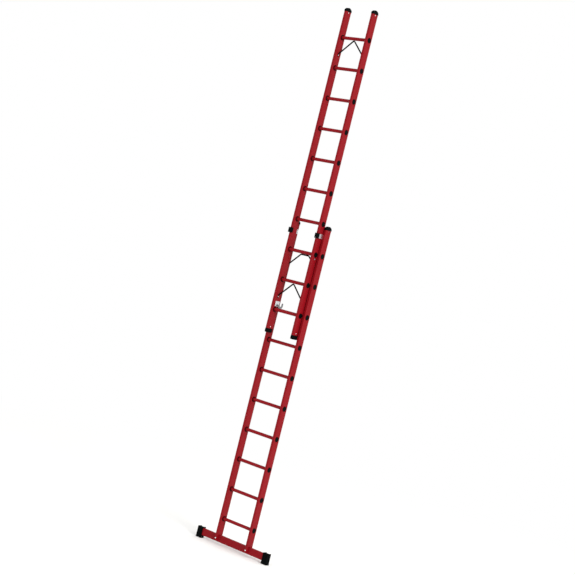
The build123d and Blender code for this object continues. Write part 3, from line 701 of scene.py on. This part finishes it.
def onSide(u, v, w):
    return (w, u, v)  # an outline drawn in Y and Z, thick along X


def makeStrap(name, node):
    low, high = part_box(node)
    outline = roundCorners([(low.y, low.z, strap["nose"] * mm), (high.y, low.z, strap["tail"] * mm),
        (high.y, high.z, strap["tail"] * mm), (low.y, high.z, strap["nose"] * mm)])
    bm = bmesh.new()
    addPrism(bm, outline, onSide, low.x, high.x, strap["soften"] * mm)
    place(name, toMesh(bm, name, rolledAluminium, 30), "base", "strap_aluminium", node)


def makeBlock(name, node):
    low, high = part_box(node)
    side = 1 if low.x > 0 else -1
    inner, outer = sorted((abs(low.x), abs(high.x)))
    gap = block["gap"] * mm
    flyOuter, flyInner, flyFront = flyStileHigh.x, flyStileLow.x, flyStileLow.y
    corner = inMetres(block)
    outline = roundCorners([
        (side * inner, low.y, corner["frontCorner"]), (side * outer, low.y, corner["frontCorner"]),
        (side * outer, high.y, corner["innerCorner"]),
        (side * (flyOuter + gap), high.y, corner["innerCorner"]),
        (side * (flyOuter + gap), flyFront - gap, 0.6 * mm),
        (side * (flyInner - gap), flyFront - gap, 0.6 * mm),
        (side * (flyInner - gap), flyFront + corner["lipDepth"], corner["lipCorner"]),
        (side * inner, flyFront + corner["lipDepth"], corner["lipCorner"]),
    ])
    bm = bmesh.new()
    addPrism(bm, outline, lambda u, v, w: (u, v, w), low.z, high.z, corner["soften"])
    place(name, toMesh(bm, name, blackNylon, 34), "base", "black_plastic", node)


for side in ("left", "right"):
    makeStrap(f"guideStrap{side.title()}", f"guide_strap_{side}")
    makeBlock(f"guideBlock{side.title()}", f"guide_block_{side}")
print("guides done")


# rivets, bolts and screws, set on points that know which way they face

def fixingTree():
    tree, given = newTree("fixings", (
        ("Geometry", "NodeSocketGeometry", None),
        ("Fixing", "NodeSocketObject", None),
        ("Seed", "NodeSocketInt", 7),
        ("Surface", "NodeSocketMaterial", None),
    ))
    fixing = addNode(tree, "GeometryNodeObjectInfo", {"Object": given["Fixing"], "As Instance": True})
    turn = addNode(tree, "GeometryNodeInputNamedAttribute", {"Name": "turn"}, data_type="FLOAT_VECTOR")
    size = addNode(tree, "GeometryNodeInputNamedAttribute", {"Name": "size"}, data_type="FLOAT")
    facing = addNode(tree, "FunctionNodeEulerToRotation", {"Euler": turn.outputs["Attribute"]})
    chance = addNode(tree, "FunctionNodeRandomValue", {"Min": 0.0, "Max": 2 * math.pi, "Seed": given["Seed"]},
        data_type="FLOAT")
    amount = next(s for s in chance.outputs if s.enabled)
    spin = addNode(tree, "FunctionNodeAxisAngleToRotation", {"Axis": (0, 0, 1), "Angle": amount})
    whole = addNode(tree, "FunctionNodeRotateRotation",
        {"Rotation": facing.outputs["Rotation"], "Rotate By": spin.outputs["Rotation"]},
        rotation_space="LOCAL")
    many = addNode(tree, "GeometryNodeInstanceOnPoints", {
        "Points": given["Geometry"], "Instance": fixing.outputs["Geometry"],
        "Rotation": whole.outputs["Rotation"],
        "Scale": size.outputs["Attribute"]})
    return endTree(tree, many.outputs["Instances"], given["Surface"])


fixings = fixingTree()
facingTurn = {"+x": (0, math.pi / 2, 0), "-x": (0, -math.pi / 2, 0), "-y": (math.pi / 2, 0, 0),
    "+y": (-math.pi / 2, 0, 0)}


def setFixings(name, fitting, spots, surface, seed):
    # spots are (position, facing, size)
    mesh = bpy.data.meshes.new(name + "Spots")
    mesh.from_pydata([tuple(spot[0]) for spot in spots], [], [])
    mesh.attributes.new("turn", "FLOAT_VECTOR", "POINT").data.foreach_set("vector",
        [a for spot in spots for a in facingTurn[spot[1]]])
    mesh.attributes.new("size", "FLOAT", "POINT").data.foreach_set("value", [spot[2] for spot in spots])
    return growMesh(name, fixings, {"Fixing": fitting, "Seed": seed, "Surface": surface}, mesh)


def bothSides(x, y, z, outward, size=1.0):
    # one fixing on each side of the ladder, mirrored
    away, toward = ("+x", "-x") if outward else ("-x", "+x")
    return [((x, y, z), away, size), ((-x, y, z), toward, size)]


def placeFixings(name, fitting, spots, surface, seed, body, slot, *nodes):
    place(name, setFixings(name, fitting, spots, surface, seed), body, slot, *nodes)


def joinMeshes(name, meshes, sharp=34):
    bm = bmesh.new()
    for mesh in meshes:
        bm.from_mesh(mesh)
    joined = bpy.data.meshes.new(name)
    bm.to_mesh(joined)
    bm.free()
    joined.materials.append(meshes[0].materials[0])
    return resharpen(joined, sharp)


rivet = {"head": 4.0, "rise": 1.5, "shank": 2.4, "reach": 3.0, "mandrel": 1.1, "guideRise": 11.0,
    "guideReach": 19.0, "blockRise": 12.0, "blockSize": 0.87, "eye": 3.0}
rivetProfile = [(0, -rivet["reach"]), (rivet["shank"], -rivet["reach"]), (rivet["shank"], 0),
    (rivet["head"] - 0.15, 0)]
rivetProfile += [(rivet["head"] * math.cos(a), 0.25 + (rivet["rise"] - 0.25) * math.sin(a) ** 0.8)
    for a in (0, 0.25, 0.5, 0.8, 1.05)]
rivetProfile += [(rivet["mandrel"] + 0.45, rivet["rise"]), (rivet["mandrel"], rivet["rise"] - 0.15),
    (rivet["mandrel"] - 0.05, rivet["rise"] - 0.8), (0.5, rivet["rise"] - 0.65), (0, rivet["rise"] - 0.6)]
rivetFitting = turnedFitting("rivetFitting", rivetProfile, 28, sharp=40)
flushProfile = [(0, -2.6), (2.5, -2.6), (4.45, -0.05), (4.4, 0.05), (3.2, 0.12), (1.35, 0.14), (1.2, -0.5),
    (0, -0.45)]
flushFitting = turnedFitting("flushFitting", flushProfile, 28, sharp=40)

strapLow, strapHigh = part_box("guide_strap_right")
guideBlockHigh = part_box("guide_block_right")[1]
guideZ = (strapLow.z + strapHigh.z) / 2
blockRivetY = flyStileLow.y + (guideBlockHigh.y - flyStileLow.y) / 2
braceFootBase = middleOf("base_brace_rivets").z
capRivetZ = middleOf("base_cap_rivets").z
baseSpots = bothSides(baseStileHigh.x, baseMiddle, capRivetZ, True) + bothSides(baseStileLow.x, baseMiddle,
    capRivetZ, False)
baseSpots += bothSides(baseStileLow.x - rivet["eye"] * mm, baseMiddle, braceFootBase, False)
for y in (-rivet["guideReach"], rivet["guideReach"]):
    for z in (-rivet["guideRise"], rivet["guideRise"]):
        baseSpots += bothSides(strapLow.x, baseMiddle + y * mm, guideZ + z * mm, False)
for z in (-rivet["blockRise"], rivet["blockRise"]):
    baseSpots += bothSides(guideBlockHigh.x, blockRivetY, guideZ + z * mm, True, rivet["blockSize"])
placeFixings("baseRivets", rivetFitting, baseSpots, rivetAluminium, 7, "base", "rivet_aluminium",
    "base_cap_rivets", "guide_rivets", "base_brace_rivets")

endLow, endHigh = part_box("fly_end_rivets")
braceLow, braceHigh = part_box("fly_brace_rivets")
flySpots = []
for z in (endLow.z + rivet["head"] * mm, endHigh.z - rivet["head"] * mm):
    flySpots += bothSides(flyStileHigh.x, flyMiddle, z, True) + bothSides(flyStileLow.x, flyMiddle, z, False)
for z in (braceLow.z + rivet["head"] * mm, braceHigh.z - rivet["head"] * mm):
    flySpots += bothSides(flyStileLow.x - rivet["eye"] * mm, flyMiddle, z, False)
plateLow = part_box("hook_bracket_right")[0]
flushPlaces = ((-6.0, 62.0), (29.0, 62.0), (-8.0, 36.0))  # from the lowest fly rung
flushSpots = []
for y, z in flushPlaces:
    flushSpots += bothSides(plateLow.x, flyMiddle + y * mm, rungHeights["fly"][0] + z * mm, False)
domed = setFixings("flyDomed", rivetFitting, flySpots, rivetAluminium, 11)
flush = setFixings("flyFlush", flushFitting, flushSpots, rivetAluminium, 13)
place("flyRivets", joinMeshes("flyRivets", [domed, flush], 40), "fly", "rivet_aluminium", "fly_end_rivets",
    "fly_brace_rivets", "hook_bracket_rivets")

bolt = {"flats": 10.0, "head": 4.0, "radius": 3.0, "washerThick": 1.6, "nut": 6.0, "tail": 2.0, "pitch": 1.0}
half = bolt["flats"] / 2
headProfile = [(0, -70.0), (bolt["radius"], -70.0), (bolt["radius"], 0), (half - 0.3, 0), (half - 0.2, 0.3),
    (half, 0.45, 1), (half, bolt["head"] - 0.9, 1), (half - 0.15, bolt["head"] - 0.25, 0.35),
    (half - 0.5, bolt["head"]), (2.7, bolt["head"]), (2.4, bolt["head"] - 0.25), (0, bolt["head"] - 0.25)]
washerProfile = [(3.15, 0), (5.85, 0), (6.0, 0.2), (6.0, 1.35), (5.8, 1.6), (3.35, 1.6), (3.15, 1.4)]
nutProfile = [(3.0, 0), (half - 0.5, 0), (half, 0.4, 1), (half, 3.8, 1), (half - 0.2, 4.2, 0.3),
    (half - 0.5, 4.4), (half - 0.6, 5.0), (half - 0.9, 5.7), (half - 1.4, 6.0), (3.3, 5.9), (3.1, 5.5),
    (3.0, 5.2)]
threadTop = bolt["nut"] + bolt["tail"]
threadProfile = [(0, 0), (2.6, 0)]
for i in range(int((threadTop - 0.8) / bolt["pitch"])):
    threadProfile += [(2.6, 0.1 + i * bolt["pitch"]), (3.0, 0.6 + i * bolt["pitch"])]
threadProfile += [(2.6, threadTop - 0.5), (2.2, threadTop), (0, threadTop)]
headFitting = turnedFitting("headFitting", headProfile, 48, sharp=24)
threadFitting = turnedFitting("threadFitting", threadProfile, 32)
washerFitting = turnedFitting("washerFitting", washerProfile, 40, closed=True, sharp=40)
nutFitting = turnedFitting("nutFitting", nutProfile, 48, closed=True, sharp=24)
boltZ = (barLow.z + barHigh.z) / 2
boltX = (baseStileLow.x + baseStileHigh.x) / 2
front, rear = baseStileLow.y, baseStileHigh.y
washerThick = bolt["washerThick"] * mm
headSpots = [((side * boltX, front - washerThick, boltZ), "-y", 1.0) for side in (-1, 1)]
washerSpots = [((side * boltX, y, boltZ), facing, 1.0) for side in (-1, 1) for y,
    facing in ((front, "-y"), (rear, "+y"))]
nutSpots = [((side * boltX, rear + washerThick, boltZ), "+y", 1.0) for side in (-1, 1)]
heads = setFixings("boltHeads", headFitting, headSpots, zincSteel, 3)
threads = setFixings("boltThreads", threadFitting, nutSpots, zincSteel, 5)
place("barBolts", joinMeshes("barBolts", [heads, threads], 24), "base", "zinc_steel", "bar_bolts")
placeFixings("barWashers", washerFitting, washerSpots, zincSteel, 5, "base", "zinc_steel", "bar_washers")
placeFixings("barNuts", nutFitting, nutSpots, zincSteel, 9, "base", "zinc_steel", "bar_nuts")

stopScrew = {"shank": 3.0, "reach": 3.4}
stopProfile = [(0, -stopScrew["reach"]), (stopScrew["shank"], -stopScrew["reach"]), (stopScrew["shank"], 0),
    (7.8, 0), (8.0, 0.3), (8.0, 1.4)]
stopProfile += [(4.2 + 3.8 * math.cos(a), 1.4 + 4.1 * math.sin(a)) for a in (0.25, 0.55, 0.85, 1.15,
    math.pi / 2)]
stopProfile += [(2.95, 5.5), (2.6, 5.25, 0.9), (2.5, 5.0, 1), (2.5, 2.9, 1), (0, 2.6)]
stopFitting = turnedFitting("stopFitting", stopProfile, 48)
stopMiddle = middleOf("extension_stop_screws")
stopSpots = bothSides(flyStileHigh.x, stopMiddle.y, stopMiddle.z, True)
placeFixings("stopScrews", stopFitting, stopSpots, zincSteel, 21, "fly", "zinc_steel",
    "extension_stop_screws")
print("fixings:", len(baseSpots) + len(flySpots) + len(flushSpots), "rivets")


# braces: round bar, bent under a rung and hammered flat at its ends

brace = {"radius": 6.5, "rungGap": 0.1, "standOff": 0.5, "eyeHalf": 8.0, "eyeThick": 3.0, "eyeBelow": 13.0, "eyeAbove": 6.0,
    "easing": 13.0, "bend": 16.0, "kneeAbove": 18.0, "sides": 18, "spacing": 3.5, "baseFlat": 46.0}


def addBrace(bm, reach, y, foot, top, flat):
    s = inMetres(brace)
    eyeX, barX = reach - s["eyeThick"] / 2, reach - s["radius"] - s["standOff"]
    half = [(-eyeX, foot - s["eyeBelow"], 0), (-eyeX, foot + s["eyeAbove"], s["bend"] / 2),
        (-barX, foot + s["kneeAbove"], s["bend"])]
    if flat:
        crown = [(-flat, top, s["bend"]), (flat, top, s["bend"])]
    else:  # a single bend is lifted until its arc meets the rung
        slope = math.atan2(barX, top - foot - s["kneeAbove"])
        crown = [(0, top + s["bend"] * (1 / math.sin(slope) - 1), s["bend"])]
    rough = roundCorners(half + crown + [(-x, z, r) for x, z, r in half[::-1]], closed=False, steps=10)
    lengths = [0.0]
    for a, b in zip(rough, rough[1:]):
        lengths.append(lengths[-1] + (b - a).length)
    total = lengths[-1]
    count = int(total / s["spacing"])
    marks = [0.0002, 0.001, 0.0022, 0.004, 0.006] + [total * i / count for i in range(3, count - 2)]
    marks += [total - m for m in (0.006, 0.004, 0.0022, 0.001, 0.0002)]
    path = []
    for mark in marks:
        i = max(j for j in range(len(lengths) - 1) if lengths[j] <= mark)
        path.append(rough[i].lerp(rough[i + 1], (mark - lengths[i]) / (lengths[i + 1] - lengths[i])))
    rings = []
    for i, point in enumerate(path):
        along = (path[min(i + 1, len(path) - 1)] - path[max(i - 1, 0)]).normalized()
        near = min(marks[i], total - marks[i])
        ease = min(max((near - s["eyeBelow"] - s["eyeAbove"]) / s["easing"], 0), 1)
        ease = ease * ease * (3 - 2 * ease)
        thick = s["eyeThick"] / 2 + (s["radius"] - s["eyeThick"] / 2) * ease
        wide = s["eyeHalf"] + (s["radius"] - s["eyeHalf"]) * ease
        if near < s["eyeHalf"]:
            wide *= math.sqrt(1 - (1 - near / s["eyeHalf"]) ** 2)
        power = 0.45 + 0.55 * ease  # a flat bar has square shoulders, a round one none
        ring = []
        for j in range(brace["sides"]):
            angle = 2 * math.pi * j / brace["sides"]
            c, d = math.cos(angle), math.sin(angle)
            across = math.copysign(abs(c) ** power, c) * thick
            wideways = math.copysign(abs(d) ** power, d) * wide
            ring.append((point.x - along.y * across, y + wideways, point.y + along.x * across))
        rings.append(ring)
    addLoft(bm, rings)


def makeBraces(name, body, node, reach, y, pairs, flat):
    bm = bmesh.new()
    for foot, top in pairs:
        addBrace(bm, reach, y, foot, top, flat)
    place(name, toMesh(bm, name, blackEnamel, 50), body, "black_steel", node)


rungRadius = (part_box("base_rung_01")[1].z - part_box("base_rung_01")[0].z) / 2
under = rungRadius + (brace["rungGap"] + brace["radius"]) * mm
flyBraceFeet = (braceLow.z + rivet["head"] * mm, braceHigh.z - rivet["head"] * mm)
flyBraceTops = (rungHeights["fly"][1] - under, rungHeights["fly"][-1] - under)
makeBraces("flyBraces", "fly", "fly_braces", flyStileLow.x, flyMiddle, list(zip(flyBraceFeet, flyBraceTops)),
    0)
makeBraces("baseBrace", "base", "base_brace", baseStileLow.x, baseMiddle,
    [(braceFootBase, rungHeights["base"][-1] - under)], brace["baseFlat"] * mm)
print("braces done")


# rung hooks on their plates, pins and springs

hookShape = {"boss": 10.0, "armTop": 34.0, "heelTop": 64.0, "heel": 34.0, "throat": 15.8, "seat": 15.3,
    "tip": 7.0, "tipDrop": 3.0, "soften": 0.6, "plateCorner": 6.0, "plateSoften": 0.5}


def makePlate(name, node):
    low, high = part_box(node)
    r = hookShape["plateCorner"] * mm
    outline = roundCorners([(low.y, low.z, r), (high.y, low.z, r * 0.5), (high.y, high.z, r * 0.5),
        (low.y, high.z, r)])
    bm = bmesh.new()
    addPrism(bm, outline, onSide, low.x, high.x, hookShape["plateSoften"] * mm)
    place(name, toMesh(bm, name, rolledAluminium, 30), "fly", "zinc_steel", node)


def makeHook(name, body, node, joint):
    low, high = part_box(node)
    pivotY, pivotZ = joint["pos_m"][1], joint["pos_m"][2]
    rung = rungHeights["fly"][0]
    h = inMetres(hookShape)
    outline = roundCorners([
        (pivotY, pivotZ + h["boss"], 6 * mm), (-h["throat"], rung + h["armTop"], 3 * mm),
        (h["throat"], rung + h["armTop"], 1.2 * mm),
        (h["throat"], rung + h["heelTop"], 3 * mm), (h["heel"] - 2 * mm, rung + h["heelTop"], 4 * mm),
        (h["heel"], rung + h["armTop"], 12 * mm),
        (h["throat"] + h["tip"], rung + h["seat"], 6 * mm),
        (h["throat"] + h["tip"], rung - h["tipDrop"], 2.6 * mm),
        (h["throat"], rung - h["tipDrop"], 2.6 * mm), (h["throat"], rung + h["seat"], 1.5 * mm),
        (-h["throat"], rung + h["seat"], 4 * mm),
        (pivotY, pivotZ - h["boss"], 5 * mm), (pivotY - h["boss"], pivotZ - h["boss"], 9.9 * mm),
        (pivotY - h["boss"], pivotZ + h["boss"], 9.9 * mm),
    ])
    bm = bmesh.new()
    addPrism(bm, outline, onSide, low.x, high.x, h["soften"])
    place(name, toMesh(bm, name, zincSteel, 30), body, "zinc_steel", node)


for side in ("left", "right"):
    makePlate(f"hookPlate{side.title()}", f"hook_bracket_{side}")
    makeHook(f"rungHook{side.title()}", f"hook_{side}", f"rung_hook_{side}", joints[f"hook_{side}_swing"])

pin = {"reach": 17.2, "tail": 3.5}
pinProfile = [(0, -pin["reach"] - pin["tail"]), (7.0, -pin["reach"] - pin["tail"]), (7.0, -pin["reach"]),
    (4.0, -pin["reach"]), (4.0, 0), (7.7, 0), (8.0, 0.3)]
pinProfile += [(8.0 * math.cos(a), 0.8 + 2.2 * math.sin(a)) for a in (0.0, 0.3, 0.6, 0.9, 1.2)] + [(0, 3.0)]
pinFitting = turnedFitting("pinFitting", pinProfile, 40)
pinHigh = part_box("hook_pivot_pins")[1]
pinX = abs(pinHigh.x) - pin["reach"] * mm - pin["tail"] * mm
pivotY, pivotZ = joints["hook_right_swing"]["pos_m"][1:]
pinSpots = bothSides(pinX, pivotY, pivotZ, False)
placeFixings("hookPins", pinFitting, pinSpots, zincSteel, 2, "fly", "zinc_steel", "hook_pivot_pins")


def springTree():
    tree, given = newTree("torsionSprings", (
        ("Turns", "NodeSocketFloat", 3.0),
        ("Coil radius", "NodeSocketFloat", 0.0062),
        ("Coil length", "NodeSocketFloat", 0.004),
        ("Wire radius", "NodeSocketFloat", 0.001),
        ("Leg", "NodeSocketFloat", 0.014),
        ("Pivot", "NodeSocketVector", (0, 0, 0)),
        ("Surface", "NodeSocketMaterial", None),
    ))
    radius, length, leg = given["Coil radius"], given["Coil length"], given["Leg"]
    coil = addNode(tree, "GeometryNodeCurveSpiral",
        {"Resolution": 36, "Rotations": given["Turns"], "Start Radius": radius, "End Radius": radius,
        "Height": length})
    legIn = addNode(tree, "GeometryNodeCurvePrimitiveLine", {
        "Start": xyz(tree, X=radius), "End": xyz(tree, X=radius, Y=leg)})
    legOut = addNode(tree, "GeometryNodeCurvePrimitiveLine", {
        "Start": xyz(tree, X=radius, Z=length),
        "End": xyz(tree, X=radius, Y=times(tree, leg, -1.0), Z=length)})
    wires = joined(tree, [wire.outputs["Curve"] for wire in (coil, legIn, legOut)])
    section = addNode(tree, "GeometryNodeCurvePrimitiveCircle",
        {"Resolution": 12, "Radius": given["Wire radius"]})
    wound = addNode(tree, "GeometryNodeCurveToMesh",
        {"Curve": wires, "Profile Curve": section.outputs["Curve"], "Fill Caps": True})
    sides = []
    for side in (-1.0, 1.0):
        spot = addNode(tree, "ShaderNodeVectorMath", {0: given["Pivot"], 1: (side, 1, 1)},
            operation="MULTIPLY")
        moved = addNode(tree, "GeometryNodeTransform",
            {"Geometry": wound.outputs["Mesh"], "Translation": spot.outputs["Vector"],
            "Rotation": (0, -side * math.pi / 2, 0)})
        sides.append(moved.outputs["Geometry"])
    return endTree(tree, joined(tree, sides), given["Surface"])


spring = {"turns": 2.0, "radius": 5.9, "length": 3.9, "wire": 0.95, "leg": 11.0}
springHigh = abs(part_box("rung_hook_right")[0].x) - (0.3 + spring["wire"]) * mm
springMesh = growMesh("hookSprings", springTree(), {
    "Turns": spring["turns"], "Coil radius": spring["radius"] * mm, "Coil length": spring["length"] * mm,
    "Wire radius": spring["wire"] * mm,
    "Leg": spring["leg"] * mm, "Pivot": (springHigh, pivotY, pivotZ), "Surface": springSteel})
place("hookSprings", resharpen(springMesh, 60), "fly", "spring_steel", "hook_springs")
for fitting in fittings:
    bpy.data.objects.remove(fitting)
print("rung hooks done")


# floor, light and camera

stageSetting = {"floor": "#F4F4F2", "reach": 40.0, "clear": (2.2, 7.0), "world": 1.0, "key": 2300.0,
    "keySize": 8.0, "keyPlace": (17.0, -6.0, 9.0), "keyAim": (0, 0, 2.4)}
floorMesh = bpy.data.meshes.new("floor")
reach = stageSetting["reach"]
floorMesh.from_pydata([(-reach, -reach, 0), (reach, -reach, 0), (reach, reach, 0), (-reach, reach, 0)], [],
    [(0, 1, 2, 3)])
floor = bpy.data.objects.new("floor", floorMesh)
scene.collection.objects.link(floor)
floorSurface = bpy.data.materials.new("pale floor")
floorSurface.use_nodes = True
tree = floorSurface.node_tree
tree.nodes.clear()
coords = addNode(tree, "ShaderNodeTexCoord").outputs["Object"]
away = addNode(tree, "ShaderNodeVectorMath", {0: coords}, operation="LENGTH")
near, far = stageSetting["clear"]
fade = addNode(tree, "ShaderNodeMapRange", {"Value": away.outputs["Value"], "From Min": near,
    "From Max": far}, interpolation_type="SMOOTHSTEP")
matt = addNode(tree, "ShaderNodeBsdfDiffuse", {"Color": toLinear(stageSetting["floor"])})
glow = addNode(tree, "ShaderNodeEmission", {"Color": (1, 1, 1, 1), "Strength": 1.0})
mixed = addNode(tree, "ShaderNodeMixShader", {0: fade.outputs["Result"], 1: matt.outputs["BSDF"],
    2: glow.outputs["Emission"]})
addNode(tree, "ShaderNodeOutputMaterial", {"Surface": mixed.outputs["Shader"]})
floorMesh.materials.append(floorSurface)

world = bpy.data.worlds.new("white room")
world.use_nodes = True
world.node_tree.nodes.clear()
sky = addNode(world.node_tree, "ShaderNodeBackground",
    {"Color": (1, 1, 1, 1), "Strength": stageSetting["world"]})
addNode(world.node_tree, "ShaderNodeOutputWorld", {"Surface": sky.outputs["Background"]})
scene.world = world

keyLight = bpy.data.lights.new("key", "AREA")
keyLight.shape = "DISK"
keyLight.size = stageSetting["keySize"]
keyLight.energy = stageSetting["key"]
key = bpy.data.objects.new("key", keyLight)
key.location = stageSetting["keyPlace"]
key.rotation_mode = "QUATERNION"
key.rotation_quaternion = (Vector(stageSetting["keyAim"]) - key.location).to_track_quat("-Z", "Y")
scene.collection.objects.link(key)

cameraSetting = {"place": (8.1564, -10.1582, 2.558), "look": (-0.63097, 0.77573, -0.01059), "roll": 14.0,
    "lens": 90.72}
camera = bpy.data.cameras.new("camera")
camera.lens = cameraSetting["lens"]
camera.sensor_width = 36.0
camera.clip_end = 200.0
viewer = bpy.data.objects.new("camera", camera)
viewer.location = cameraSetting["place"]
viewer.rotation_mode = "QUATERNION"
level = Vector(cameraSetting["look"]).to_track_quat("-Z", "Y")
viewer.rotation_quaternion = level @ Quaternion((0, 0, 1), math.radians(cameraSetting["roll"]))
scene.collection.objects.link(viewer)
scene.camera = viewer
scene.view_settings.view_transform = "Standard"
print("stage ready")
